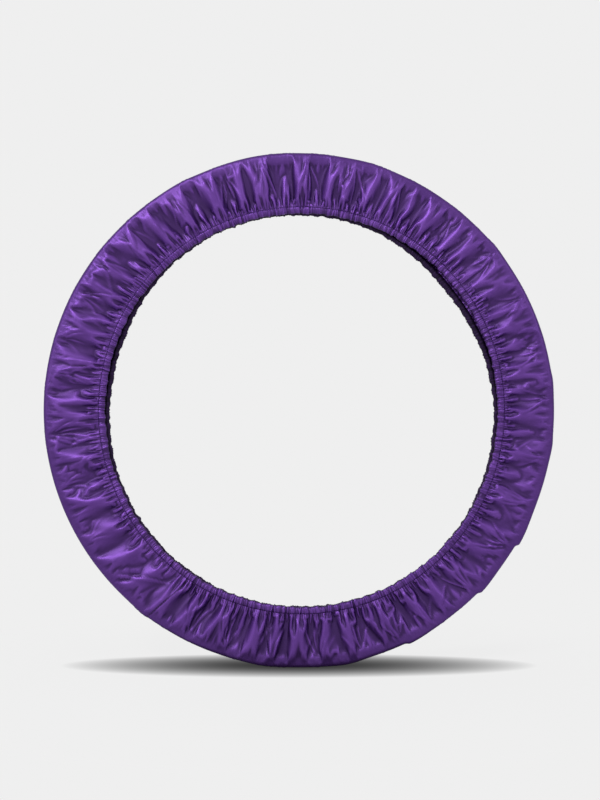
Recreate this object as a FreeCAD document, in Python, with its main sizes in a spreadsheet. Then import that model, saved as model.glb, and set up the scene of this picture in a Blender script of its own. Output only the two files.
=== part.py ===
import FreeCAD, Part
import os
from math import atan2, pi

import Sketcher

# A rhythmic gymnastics hoop inside its gathered cloth dust cover.
# Millimetres. The hoop stands upright: its axis is Y, its front faces -Y, +Z is up,
# and the origin is the centre of the ring. Angles run anticlockwise from +X as seen
# from the front.
#
# Every piece is drawn in its own local frame, where the place at which the hoop's
# tube, or the cover's strip, closes on itself is at local -X. Its Placement then
# turns that place to joint_angle (hoop) or seam_angle (cover).

Vector = FreeCAD.Vector

SIZES = [
    # alias, value, meaning
    ("hoop_inside_diameter", 850, "clear diameter inside the hoop's tube"),
    ("tube_diameter", 19, "outside diameter of the hoop's tube"),
    ("tube_wall", 2.2, "wall of the hoop's tube"),
    ("butt_gap", 0.4, "gap left where the tube's ends meet"),
    ("joint_angle", 270, "where the tube's ends meet, degrees"),
    ("plug_length", 90, "plug inside the joint, along the ring"),
    ("plug_clearance", 0.05, "radial clearance of the plug in the tube"),
    ("pin_diameter", 3, "cross pins through the joint"),
    ("pin_spacing", 50, "distance between the cross pins, along the ring"),
    ("pin_clearance", 0.02, "radial clearance of a pin in its holes"),
    ("pin_recess", 0.3, "depth of a pin's ends below the tube's surface"),
    ("tape_width", 60, "tape wound over the joint, along the ring"),
    ("tape_thickness", 0.2, "thickness of the tape's turns"),
    ("tape_glue", 0.05, "glue line under the tape"),
    ("sleeve_ease", 0.5, "play between the tape and the cover"),
    ("cloth_bulk", 1.0, "thickness that the gathered cloth takes up"),
    ("band_width", 104.75, "width of the cover, from its outer edge to its hems"),
    ("hem_spread", 16, "distance between the outer faces of the two hems"),
    ("casing_width", 12, "elastic casing, from the hem to its stitching"),
    ("turning_width", 1.5, "cloth turned in beyond the casing's stitching"),
    ("tunnel_margin", 1.0, "cloth between the tunnel and the casing's stitching"),
    ("elastic_width", 8, "width of the flat elastic"),
    ("elastic_thickness", 0.8, "thickness of the flat elastic"),
    ("elastic_clearance", 0.2, "play round the elastic's lap in its tunnel"),
    ("elastic_lap", 20, "lap of the elastic's ends, along the ring"),
    ("lap_stitch_length", 6, "each row sewn across the elastic's lap"),
    ("lap_stitch_width", 0.6, "width of a row sewn across the lap"),
    ("lap_stitch_height", 0.12, "height of a row sewn across the lap"),
    ("lap_stitch_spacing", 12, "distance between the two rows on a lap"),
    ("stitch_width", 0.6, "width of a sewn row"),
    ("stitch_depth", 0.3, "thickness of a sewn row, sunk flush in the cloth"),
    ("stitch_play", 0.3, "cloth pressed down on each side of a sewn row"),
    ("seam_angle", 235.5, "where the cover's strip closes, degrees"),
    ("seam_gap", 0.3, "gap between the strip's ends at the ring's centre line"),
    ("seam_thread", 0.2, "thickness of the thread in the closing seam"),
    ("seam_cover", 0.3, "cloth over each side of the closing seam's thread"),
]

# Formulas over the sheet, written once and shared by every piece that needs them.
RING = "(Sizes.hoop_inside_diameter + Sizes.tube_diameter) / 2"
TUBE_OUTER = "Sizes.tube_diameter / 2"
TUBE_INNER = "(Sizes.tube_diameter / 2 - Sizes.tube_wall)"
PIN_TURN = f"(Sizes.pin_spacing / 2 / ({RING}) * 180 / pi)"
TAPE_INNER = f"({TUBE_OUTER} + Sizes.tape_glue)"
TAPE_OUTER = f"({TAPE_INNER} + Sizes.tape_thickness)"
WRAP_INNER = f"({TAPE_OUTER} + Sizes.sleeve_ease)"
WRAP_OUTER = f"({WRAP_INNER} + Sizes.cloth_bulk)"
HEM = f"({RING} + {WRAP_OUTER} - Sizes.band_width)"
TUNNEL = "(2 * (Sizes.elastic_thickness + Sizes.elastic_clearance))"
CASING_DEPTH = f"({TUNNEL} + 2 * Sizes.cloth_bulk)"
STITCH_LINE = f"({HEM} + Sizes.casing_width)"
CASING_END = f"({STITCH_LINE} + Sizes.turning_width)"
HEM_FOLD = f"({HEM} + {CASING_DEPTH} / 2)"
CASING_OUTER = "(Sizes.hem_spread / 2)"
CASING_INNER = f"({CASING_OUTER} - {CASING_DEPTH})"
CASING_MIDDLE = f"({CASING_OUTER} - {CASING_DEPTH} / 2)"
WALL_INNER = f"({CASING_OUTER} - Sizes.cloth_bulk)"
ELASTIC_EDGE = f"({HEM} + Sizes.cloth_bulk + Sizes.elastic_clearance)"

doc = FreeCAD.newDocument("rhythmic_hoop")


def make_sheet():
    """Put the driving sizes into the spreadsheet, each with its alias."""
    sheet = doc.addObject("Spreadsheet::Sheet", "Sizes")
    for row, (alias, value, meaning) in enumerate(SIZES, start=1):
        sheet.set(f"A{row}", alias)
        sheet.set(f"B{row}", str(value))
        sheet.set(f"C{row}", meaning)
        sheet.setAlias(f"B{row}", alias)
    sheet.recompute()


def make_gauge():
    """Make the object through which read() takes a formula's value."""
    gauge = doc.addObject("App::FeaturePython", "Gauge")
    gauge.addProperty("App::PropertyFloat", "Reading")
    return gauge


make_sheet()
gauge = make_gauge()


def read(formula):
    """Return the number that a formula over the sheet gives."""
    gauge.setExpression("Reading", formula)
    gauge.recompute()
    return gauge.Reading


def minus(formula):
    """Return the formula with the opposite sign."""
    return f"-({formula})"


# ---------------------------------------------------------------- sketches


def new_body(label):
    """Make the body of one sub-part."""
    body = doc.addObject("PartDesign::Body", label)
    body.Label = label
    return body


def new_sketch(body, name, plane="XY_Plane"):
    """Make a sketch on one of the body's own origin planes."""
    sketch = body.newObject("Sketcher::SketchObject", name)
    support = next(f for f in body.Origin.OriginFeatures if f.Role == plane)
    sketch.AttachmentSupport = [(support, "")]
    sketch.MapMode = "FlatFace"
    return sketch


def bind(sketch, kind, edge, point, formula):
    """Dimension one point of a sketch from its origin, by a formula."""
    rule = Sketcher.Constraint(kind, edge, point, read(formula))
    index = sketch.addConstraint(rule)
    sketch.setExpression(f"Constraints[{index}]", formula)


def half_circle(start, end, turn):
    """Make the half circle from start to end, anticlockwise if turn is 1."""
    middle = (start + end) / 2
    first = start if turn > 0 else end
    angle = atan2(first.y - middle.y, first.x - middle.x)
    circle = Part.Circle(middle, Vector(0, 0, 1), (end - start).Length / 2)
    return Part.ArcOfCircle(circle, angle, angle + pi)


def draw_outline(sketch, corners):
    """Draw a closed outline through corners given as formulas.

    A corner is (x, y) where a straight edge follows it, or (x, y, centre x, turn)
    where a half circle does, which turns anticlockwise if turn is 1.
    """
    count = len(corners)
    base = sketch.GeometryCount
    places = [Vector(read(c[0]), read(c[1]), 0) for c in corners]
    for i, corner in enumerate(corners):
        start, end = places[i], places[(i + 1) % count]
        if len(corner) == 2:
            sketch.addGeometry(Part.LineSegment(start, end), False)
        else:
            sketch.addGeometry(half_circle(start, end, corner[3]), False)

    # A clockwise arc is stored the other way round, so its own end is its start.
    heads = [2 if len(c) == 4 and c[3] < 0 else 1 for c in corners]
    for i in range(count):
        after = (i + 1) % count
        joined = (base + i, 3 - heads[i], base + after, heads[after])
        sketch.addConstraint(Sketcher.Constraint("Coincident", *joined))
    for i, corner in enumerate(corners):
        bind(sketch, "DistanceX", base + i, heads[i], corner[0])
        bind(sketch, "DistanceY", base + i, heads[i], corner[1])
        if len(corner) == 4:
            bind(sketch, "DistanceX", base + i, 3, corner[2])


def draw_box(sketch, left, right, low, high):
    """Draw a rectangle between two x and two y formulas."""
    draw_outline(sketch, [(left, low), (right, low), (right, high), (left, high)])


def draw_circle(sketch, x, y, radius):
    """Draw a circle with its centre and radius given as formulas."""
    middle = Vector(read(x), read(y), 0)
    circle = Part.Circle(middle, Vector(0, 0, 1), read(radius))
    edge = sketch.addGeometry(circle, False)
    bind(sketch, "DistanceX", edge, 3, x)
    bind(sketch, "DistanceY", edge, 3, y)
    index = sketch.addConstraint(Sketcher.Constraint("Radius", edge, read(radius)))
    sketch.setExpression(f"Constraints[{index}]", radius)


# ---------------------------------------------------------------- features


def revolve(body, sketch, name, arc="360", kind="PartDesign::Revolution"):
    """Turn a sketch about the ring's axis, half of the arc to each side of it."""
    turned = body.newObject(kind, name)
    turned.Profile = sketch
    turned.ReferenceAxis = (sketch, ["V_Axis"])
    turned.Midplane = True
    turned.setExpression("Angle", arc)
    return turned


def arc_of(length):
    """Return the formula of the angle that a length takes up along the ring."""
    return f"{length} / ({RING}) * 180 / pi"


def place(thing, angle):
    """Turn a sub-part about the ring's axis so that its local -X is at an angle."""
    thing.Placement = FreeCAD.Placement(
        Vector(0, 0, 0), FreeCAD.Rotation(Vector(0, -1, 0), read(angle) - 180)
    )
    thing.setExpression("Placement.Rotation.Angle", f"{angle} - 180")
    return thing


def drill_pin_holes(body):
    """Cut the two cross-pin holes through a piece of the hoop's joint."""
    sketch = new_sketch(body, f"{body.Label}_pin_holes", "XZ_Plane")
    for side in ("", "-"):
        x = minus(f"({RING}) * cos({PIN_TURN})")
        z = f"{side}({RING}) * sin({PIN_TURN})"
        draw_circle(sketch, x, z, "Sizes.pin_diameter / 2 + Sizes.pin_clearance")
    holes = body.newObject("PartDesign::Pocket", f"{body.Label}_drilling")
    holes.Profile = sketch
    holes.Type = "ThroughAll"
    holes.Midplane = True


# ---------------------------------------------------------------- the hoop


def make_hoop_tube():
    """The plastic tube, bent round until its ends nearly meet."""
    body = new_body("hoop_tube")
    sketch = new_sketch(body, "tube_section")
    draw_circle(sketch, RING, "0", TUBE_OUTER)
    draw_circle(sketch, RING, "0", TUBE_INNER)
    revolve(body, sketch, "tube_ring", f"360 - {arc_of('Sizes.butt_gap')}")
    drill_pin_holes(body)
    return place(body, "Sizes.joint_angle")


def make_joint_plug():
    """The curved plug inside the tube, across its joint."""
    body = new_body("joint_plug")
    sketch = new_sketch(body, "plug_section")
    radius = f"{TUBE_INNER} - Sizes.plug_clearance"
    draw_circle(sketch, minus(RING), "0", radius)
    revolve(body, sketch, "plug_bend", arc_of("Sizes.plug_length"))
    drill_pin_holes(body)
    return place(body, "Sizes.joint_angle")


def make_joint_pins():
    """The two pins that hold the plug in the tube's ends."""
    pins = []
    for number, side in enumerate(("", "-"), start=1):
        pin = doc.addObject("Part::Cylinder", f"cross_pin_{number}")
        pin.setExpression("Radius", "Sizes.pin_diameter / 2")
        pin.setExpression("Height", "Sizes.tube_diameter - 2 * Sizes.pin_recess")
        pin.Placement.Rotation = FreeCAD.Rotation(Vector(1, 0, 0), -90)
        pin.setExpression("Placement.Base.x", f"-({RING}) * cos({PIN_TURN})")
        pin.setExpression("Placement.Base.y", f"Sizes.pin_recess - {TUBE_OUTER}")
        pin.setExpression("Placement.Base.z", f"{side}({RING}) * sin({PIN_TURN})")
        pins.append(pin)
    group = doc.addObject("Part::Compound", "joint_pins")
    group.Label = "joint_pins"
    group.Links = pins
    return place(group, "Sizes.joint_angle")


def make_joint_tape():
    """The tape wound over the joint and the pins' ends."""
    body = new_body("joint_tape")
    sketch = new_sketch(body, "tape_section")
    draw_circle(sketch, minus(RING), "0", TAPE_OUTER)
    draw_circle(sketch, minus(RING), "0", TAPE_INNER)
    revolve(body, sketch, "tape_winding", arc_of("Sizes.tape_width"))
    return place(body, "Sizes.joint_angle")


# ---------------------------------------------------------------- the cover


def front_and_back(low, high):
    """Return two bands of depth for the front and the back of the cover."""
    return [(minus(high), minus(low)), (low, high)]


def sleeve_outline():
    """Return the corners of the strip's section, from hem round to hem."""
    return [
        (HEM_FOLD, minus(CASING_OUTER)),
        (CASING_END, minus(CASING_OUTER)),
        (RING, minus(WRAP_OUTER), RING, 1),
        (RING, WRAP_OUTER),
        (CASING_END, CASING_OUTER),
        (HEM_FOLD, CASING_OUTER, HEM_FOLD, 1),
        (HEM_FOLD, CASING_INNER),
        (CASING_END, CASING_INNER),
        (CASING_END, WALL_INNER),
        (RING, WRAP_INNER, RING, -1),
        (RING, minus(WRAP_INNER)),
        (CASING_END, minus(WALL_INNER)),
        (CASING_END, minus(CASING_INNER)),
        (HEM_FOLD, minus(CASING_INNER), HEM_FOLD, 1),
    ]


def stitch_rows(edge):
    """Return the depth bands of the sewn rows on one edge's two faces."""
    outside = (f"{CASING_OUTER} - Sizes.stitch_depth", CASING_OUTER)
    inside = (CASING_INNER, f"{CASING_INNER} + Sizes.stitch_depth")
    return [front_and_back(*band)[edge] for band in (outside, inside)]


def make_cover_sleeve():
    """The strip of cloth folded over the hoop, its edges turned in as casings."""
    body = new_body("cover_sleeve")
    section = new_sketch(body, "strip_section")
    draw_outline(section, sleeve_outline())
    tunnel_start = f"{HEM} + Sizes.cloth_bulk"
    tunnel_end = f"{STITCH_LINE} - Sizes.tunnel_margin"
    low = f"{CASING_INNER} + Sizes.cloth_bulk"
    high = WALL_INNER
    for band in front_and_back(low, high):
        draw_box(section, tunnel_start, tunnel_end, *band)
    closed = f"360 - {arc_of('Sizes.seam_gap')}"
    revolve(body, section, "strip_round_hoop", closed)

    beds = new_sketch(body, "stitch_beds")
    reach = "(Sizes.stitch_width / 2 + Sizes.stitch_play)"
    for edge in (0, 1):
        for band in stitch_rows(edge):
            draw_box(beds, f"{STITCH_LINE} - {reach}", f"{STITCH_LINE} + {reach}", *band)
    revolve(body, beds, "stitch_bedding", kind="PartDesign::Groove")
    return place(body, "Sizes.seam_angle")


def make_elastic(label, edge):
    """One hem's flat elastic: a ring whose ends are lapped and sewn."""
    body = new_body(label)
    ring = new_sketch(body, f"{label}_section")
    half = "Sizes.elastic_thickness / 2"
    band = front_and_back(f"{CASING_MIDDLE} - {half}", f"{CASING_MIDDLE} + {half}")[edge]
    far_edge = f"{ELASTIC_EDGE} + Sizes.elastic_width"
    draw_box(ring, ELASTIC_EDGE, far_edge, *band)
    revolve(body, ring, f"{label}_ring")

    lap = new_sketch(body, f"{label}_lap_section")
    full = "Sizes.elastic_thickness"
    band = front_and_back(f"{CASING_MIDDLE} - {full}", f"{CASING_MIDDLE} + {full}")[edge]
    draw_box(lap, minus(far_edge), minus(ELASTIC_EDGE), *band)
    revolve(body, lap, f"{label}_lap", arc_of("Sizes.elastic_lap"))
    return place(body, "Sizes.seam_angle")


def make_lap_stitches():
    """The two rows sewn across each elastic's lap."""
    rows = []
    middle = f"-({ELASTIC_EDGE}) - Sizes.elastic_width / 2"
    outside = {
        "front": f"-({CASING_MIDDLE}) - Sizes.elastic_thickness - Sizes.lap_stitch_height",
        "back": f"{CASING_MIDDLE} + Sizes.elastic_thickness",
    }
    for edge, depth in outside.items():
        for number, side in enumerate(("", "-"), start=1):
            row = doc.addObject("Part::Box", f"{edge}_lap_row_{number}")
            row.setExpression("Length", "Sizes.lap_stitch_length")
            row.setExpression("Width", "Sizes.lap_stitch_height")
            row.setExpression("Height", "Sizes.lap_stitch_width")
            across = f"{side}Sizes.lap_stitch_spacing / 2 - Sizes.lap_stitch_width / 2"
            row.setExpression("Placement.Base.x", f"{middle} - Sizes.lap_stitch_length / 2")
            row.setExpression("Placement.Base.y", depth)
            row.setExpression("Placement.Base.z", across)
            rows.append(row)
    group = doc.addObject("Part::Compound", "elastic_lap_stitches")
    group.Label = "elastic_lap_stitches"
    group.Links = rows
    return place(group, "Sizes.seam_angle")


def make_casing_stitching(label, edge):
    """One hem's sewn row, with its thread on both faces of the casing."""
    body = new_body(label)
    body.AllowCompound = True
    sketch = new_sketch(body, f"{label}_section")
    half = "Sizes.stitch_width / 2"
    for band in stitch_rows(edge):
        draw_box(sketch, f"{STITCH_LINE} - {half}", f"{STITCH_LINE} + {half}", *band)
    revolve(body, sketch, f"{label}_row")
    return place(body, "Sizes.seam_angle")


def make_closing_seam():
    """The thread that joins the strip's ends, from casing round to casing."""
    body = new_body("closing_seam_stitching")
    sketch = new_sketch(body, "seam_path")
    rim_outer = f"({WRAP_OUTER} - Sizes.seam_cover)"
    rim_inner = f"({WRAP_INNER} + Sizes.seam_cover)"
    hem_outer = f"({CASING_OUTER} - Sizes.seam_cover)"
    hem_inner = f"({WALL_INNER} + Sizes.seam_cover)"
    start, bend = minus(CASING_END), minus(RING)
    draw_outline(sketch, [
        (start, minus(hem_outer)),
        (bend, minus(rim_outer), bend, -1),
        (bend, rim_outer),
        (start, hem_outer),
        (start, hem_inner),
        (bend, rim_inner, bend, 1),
        (bend, minus(rim_inner)),
        (start, minus(hem_inner)),
    ])
    thread = body.newObject("PartDesign::Pad", "seam_thread")
    thread.Profile = sketch
    thread.Midplane = True
    thread.setExpression("Length", "Sizes.seam_thread")
    return place(body, "Sizes.seam_angle")


# ---------------------------------------------------------------- the whole


def make_parts():
    """Make every sub-part, the hoop's first and then the cover's."""
    return [
        make_hoop_tube(),
        make_joint_plug(),
        make_joint_pins(),
        make_joint_tape(),
        make_cover_sleeve(),
        make_elastic("front_elastic", 0),
        make_elastic("back_elastic", 1),
        make_lap_stitches(),
        make_casing_stitching("front_casing_stitching", 0),
        make_casing_stitching("back_casing_stitching", 1),
        make_closing_seam(),
    ]


def check_document(parts):
    """Stop if any object failed or any sub-part has no sound solid."""
    for thing in doc.Objects:
        if "Invalid" in thing.State or "Error" in thing.State:
            raise RuntimeError(f"{thing.Label} failed: {thing.State}")
    for part in parts:
        if part.Shape.isNull() or not part.Shape.isValid() or not part.Shape.Solids:
            raise RuntimeError(f"{part.Label} has no sound solid")


parts = make_parts()
doc.recompute()
check_document(parts)
os.makedirs("parts", exist_ok=True)
for part in parts:
    part.Shape.exportStep(f"parts/{part.Label}.step")
    print(f"{part.Label}: {len(part.Shape.Solids)} solids, {part.Shape.Volume:.0f} mm3")
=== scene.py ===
from math import atan2, cos, hypot, pi, radians, sin

import bmesh
import bpy
import numpy as np
from bpy.props import FloatProperty, FloatVectorProperty, IntProperty, PointerProperty
from mathutils import Matrix, Vector


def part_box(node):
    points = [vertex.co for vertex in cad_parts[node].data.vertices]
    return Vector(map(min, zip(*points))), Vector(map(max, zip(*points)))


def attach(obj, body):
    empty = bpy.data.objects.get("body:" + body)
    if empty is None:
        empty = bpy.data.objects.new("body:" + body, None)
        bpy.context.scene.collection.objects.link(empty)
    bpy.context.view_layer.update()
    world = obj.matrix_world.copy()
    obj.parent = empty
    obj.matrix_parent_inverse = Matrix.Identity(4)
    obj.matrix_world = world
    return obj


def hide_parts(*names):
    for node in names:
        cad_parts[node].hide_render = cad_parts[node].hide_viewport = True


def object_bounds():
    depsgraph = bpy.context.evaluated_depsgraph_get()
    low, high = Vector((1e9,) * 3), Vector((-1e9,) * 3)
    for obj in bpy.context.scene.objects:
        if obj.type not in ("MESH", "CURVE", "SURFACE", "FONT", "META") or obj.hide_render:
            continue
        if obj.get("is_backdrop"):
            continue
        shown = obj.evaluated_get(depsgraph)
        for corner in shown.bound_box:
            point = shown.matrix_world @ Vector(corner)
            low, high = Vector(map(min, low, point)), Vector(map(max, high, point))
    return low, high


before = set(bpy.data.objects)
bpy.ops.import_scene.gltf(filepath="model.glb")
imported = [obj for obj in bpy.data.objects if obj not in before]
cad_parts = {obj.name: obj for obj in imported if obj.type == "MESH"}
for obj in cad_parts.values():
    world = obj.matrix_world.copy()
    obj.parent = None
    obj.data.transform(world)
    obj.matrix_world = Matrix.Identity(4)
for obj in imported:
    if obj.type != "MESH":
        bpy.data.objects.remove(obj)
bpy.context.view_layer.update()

bl_info = {
    "name": "Covered Rhythmic Hoop",
    "version": (1, 0, 0),
    "blender": (4, 5, 0),
    "location": "View3D > Sidebar > Hoop",
    "description": "Dresses a gymnastics hoop in its gathered cloth dust cover",
    "category": "Object",
}

# The hoop stands in the XZ plane, its centre at the origin and its front towards -Y.
# Angles run anticlockwise from +X as seen from the front.

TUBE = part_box("hoop_tube")
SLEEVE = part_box("cover_sleeve")
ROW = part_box("front_casing_stitching")
TUBE_RADIUS = TUBE[1][1]
RING_RADIUS = TUBE[1][0] - TUBE_RADIUS
WRAP_RADIUS = SLEEVE[1][1]
STITCH_RADIUS = ROW[1][0]
HEM_DEPTH = -ROW[0][1]
HEM_LENGTH = 2 * pi * STITCH_RADIUS
HEMS = {-1: "front", 1: "back"}


class CoverSettings(bpy.types.PropertyGroup):
    """Sizes and colours of the cloth cover and the studio"""

    columns: IntProperty(
        name="Columns",
        description="Cloth faces along the strip, a multiple of 32",
        default=1536, min=256,
    )
    rows: IntProperty(
        name="Rows",
        description="Cloth faces across the strip, a multiple of 16",
        default=64, min=32,
    )
    casing_columns: IntProperty(
        name="Casing columns",
        description="Cloth faces along each hem's casing",
        default=2200, min=400,
    )
    spare_length: FloatProperty(
        name="Spare length",
        description="Share by which the strip is longer than the rim it goes round",
        default=0.05, min=0.0, max=0.3,
    )
    hem_fullness: FloatProperty(
        name="Hem fullness",
        description="Share by which the strip is longer than its hems",
        default=0.26, min=0.0, max=0.4,
    )
    seam_angle: FloatProperty(
        name="Seam",
        description="Where the strip's ends are sewn together, measured round the hoop",
        default=radians(235.5), subtype="ANGLE",
    )
    stitch_pitch: FloatProperty(
        name="Stitch pitch",
        description="Distance from one stitch to the next",
        default=0.0040, min=0.002, unit="LENGTH",
    )
    thread_radius: FloatProperty(
        name="Thread radius",
        description="Half the thickness of the sewing thread",
        default=0.00028, min=0.0001, unit="LENGTH",
    )
    cloth_dark: FloatVectorProperty(
        name="Cloth, deep tone",
        description="Colour of the cloth where its dye is deepest",
        default=(0.103, 0.036, 0.232), size=3, min=0.0, max=1.0, subtype="COLOR",
    )
    cloth_light: FloatVectorProperty(
        name="Cloth, light tone",
        description="Colour of the cloth where its dye is lightest",
        default=(0.133, 0.049, 0.286), size=3, min=0.0, max=1.0, subtype="COLOR",
    )
    thread_colour: FloatVectorProperty(
        name="Thread",
        description="Colour of the sewing thread",
        default=(0.100, 0.036, 0.215), size=3, min=0.0, max=1.0, subtype="COLOR",
    )
    hoop_colour: FloatVectorProperty(
        name="Hoop",
        description="Colour of the hoop's plastic tube",
        default=(0.80, 0.80, 0.78), size=3, min=0.0, max=1.0, subtype="COLOR",
    )
    floor_colour: FloatProperty(
        name="Floor tone",
        description="Grey level of the floor and the backdrop",
        default=0.863, min=0.0, max=1.0,
    )


def settings():
    """Return the cover's settings."""
    return bpy.context.scene.hoop_cover


# ------------------------------------------------------------------ shared tools


def finish_mesh(name, bm, smooth=True):
    """Turn a bmesh into a named object and return the object."""
    mesh = bpy.data.meshes.new(name)
    bm.to_mesh(mesh)
    bm.free()
    for face in mesh.polygons:
        face.use_smooth = smooth
    piece = bpy.data.objects.new(name, mesh)
    bpy.context.scene.collection.objects.link(piece)
    return piece


def on_ring(angles, radius, level):
    """Return points at angles round the ring, at a radius and a depth."""
    return np.stack([radius * np.cos(angles), level, radius * np.sin(angles)], axis=-1)


def dress(piece, material):
    """Give a piece of the cover its material."""
    piece.data.materials.append(bpy.data.materials[material])
    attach(piece, "cover")


def away_from(angles, turn):
    """Return how far angles lie from a turn, the short way round."""
    return (angles - turn + pi) % (2 * pi) - pi


def eased(part):
    """Return a share from 0 to 1, eased at both ends."""
    return part * part * (3 - 2 * part)


def blur_along(level):
    """Return rows of heights, each smoothed a little round the ring."""
    return (np.roll(level, 1, axis=1) + 2 * level + np.roll(level, -1, axis=1)) / 4


def blur_across(level):
    """Return rows of heights, smoothed a little from row to row."""
    soft = level.copy()
    soft[1:-1] = (level[:-2] + 2 * level[1:-1] + level[2:]) / 4
    return soft


# ------------------------------------------------------------------ the cloth's shape

PINCH = 0.0009  # how deep the thread draws a sewn row into the hem
PUCKER = 0.0012  # how tall the puckers stand along a sewn row
TOUCH = 0.0012  # the cloth's least gap to the tube and to the ring's middle plane
SLACK = 1.003  # the cloth's length across, as a share of its first shape's
FOLD_HEIGHT = 0.0045  # how tall the folds start
FOLD_PITCHES = (0.017, 0.034)  # half the distance between fine folds and between broad ones
FOLD_LEAN = 22  # how far folds lean, in columns of a ring of LEAN_COLUMNS
FOLD_WAVER = 5  # how far they waver, in the same columns
LEAN_COLUMNS = 1400
CALM = (228, 8.5)  # where the strip is drawn smooth, and its half-width, in degrees

# The chance patterns' seeds.
FOLD_SEED = 7
PUCKER_SEED = 20
CREASE_SEED = 40
CASING_SEED = 60

# Where the back hem leaves its true circle: angle and width in degrees, and how far out.
BACK_HEM = [
    (37, 24, -0.0105), (165, 33, -0.0120), (215, 28, -0.0035),
    (312, 30, 0.0055), (268, 25, 0.0015),
]


def wall_length():
    """Return a wall's length from its sewn row to the top of the wrap."""
    return hypot(RING_RADIUS - STITCH_RADIUS, WRAP_RADIUS - HEM_DEPTH)


def strip_width():
    """Return the strip's width between its two sewn rows."""
    return 2 * wall_length() + pi * WRAP_RADIUS


def wrap_profile(share):
    """Return radius, depth and outward direction at a share of the way across."""
    if share > 0.5:
        radius, depth, out = wrap_profile(1 - share)
        return radius, -depth, (out[0], -out[1])
    wall = wall_length()
    place = share * strip_width()
    if place < wall:
        part = place / wall
        radius = STITCH_RADIUS + part * (RING_RADIUS - STITCH_RADIUS)
        depth = -(HEM_DEPTH + part * (WRAP_RADIUS - HEM_DEPTH))
        return radius, depth, (0.0, -1.0)
    bend = (place - wall) / WRAP_RADIUS - pi / 2
    out = (cos(bend), sin(bend))
    return RING_RADIUS + WRAP_RADIUS * out[0], WRAP_RADIUS * out[1], out


def ring_angles(columns):
    """Return the angle of each column round the ring."""
    return np.arange(columns) * 2 * pi / columns


def swell(angles, turn, width):
    """Return a smooth bump round the ring, 1 at a turn and fading over a width in degrees."""
    return np.exp(-(away_from(angles, radians(turn)) / radians(width)) ** 2)


def hem_shift(angles, side):
    """Return how far a hem stands off its true circle; the back hem hangs narrower."""
    if side < 0:
        return 0.0008 + 0.0044 * np.cos(angles) + 0.0009 * np.sin(angles) ** 2
    return sum(out * swell(angles, turn, width) for turn, width, out in BACK_HEM)


def wave_noise(rng, count, pitch):
    """Return smooth noise round the ring, up and down once in two pitches at the hem."""
    bumps = max(8, 2 * int(HEM_LENGTH / pitch / 2))
    places = (np.arange(bumps) + rng.uniform(-0.36, 0.36, bumps)) / bumps
    heights = rng.uniform(0.25, 1.0, bumps)
    heights[1::2] *= -1
    order = np.concatenate([places - 1, places, places + 1])
    tall = np.concatenate([heights, heights, heights])
    spots = np.arange(count) / count
    found = np.searchsorted(order, spots) - 1
    part = (spots - order[found]) / (order[found + 1] - order[found])
    ease = 0.5 - 0.5 * np.cos(pi * part)
    return tall[found] * (1 - ease) + tall[found + 1] * ease


def hem_puckers(columns, side):
    """Return the puckers' height along a hem's sewn row: round tops and narrow dips."""
    rng = np.random.default_rng(PUCKER_SEED + side)
    waves = [(0.6, 0.0026), (0.5, 0.0043), (0.3, 0.0075)]
    wave = sum(share * wave_noise(rng, columns, pitch) for share, pitch in waves)
    uneven = 1 + 0.6 * wave_noise(rng, columns, 0.012)
    round_tops = 2.4 * np.abs(np.clip(wave, -1, 1) - 0.1) ** 0.7 - 1.0
    return np.clip(round_tops * uneven, -1.0, 1.3)


def crowding(angles):
    """Return how bunched the cloth is, 1 at the top and bottom and 0 at the sides."""
    return eased(np.clip((np.abs(np.sin(angles)) - 0.55) / 0.35, 0, 1))


def calm(angles):
    """Return how smooth the cloth is drawn, near 1 where the strip is sewn together."""
    return np.exp(-(away_from(angles, radians(CALM[0])) / radians(CALM[1])) ** 4)


def shift_columns(rows, moves):
    """Return rows whose columns are moved along by fractions of a column."""
    count = rows.shape[1]
    spots = (np.arange(count)[None, :] + moves) % count
    low = np.floor(spots).astype(int) % count
    part = spots - np.floor(spots)
    lines = np.arange(rows.shape[0])[:, None]
    return rows[lines, low] * (1 - part) + rows[lines, (low + 1) % count] * part


def seed_folds(shape, rng):
    """Return the folds' first heights over one wall, row 0 at the hem."""
    count, columns = shape
    reach = np.linspace(0, 1, count)[:, None]
    crowd = crowding(ring_angles(columns))[None, :]
    fine, broad = (wave_noise(rng, columns, pitch)[None, :] for pitch in FOLD_PITCHES)
    height = FOLD_HEIGHT * fine * np.sin(pi * reach ** 0.7) * (0.20 + 0.80 * crowd)
    height = height + FOLD_HEIGHT * broad * np.sin(pi * reach ** 1.2)
    height = height * (1 - 0.75 * calm(ring_angles(columns)))[None, :]
    lean = FOLD_LEAN * wave_noise(rng, columns, 0.07)[None, :] * columns / LEAN_COLUMNS
    waver = FOLD_WAVER * wave_noise(rng, columns, 0.04)[None, :] * columns / LEAN_COLUMNS
    return shift_columns(height, lean * reach + waver * np.sin(2 * pi * reach))


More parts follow.
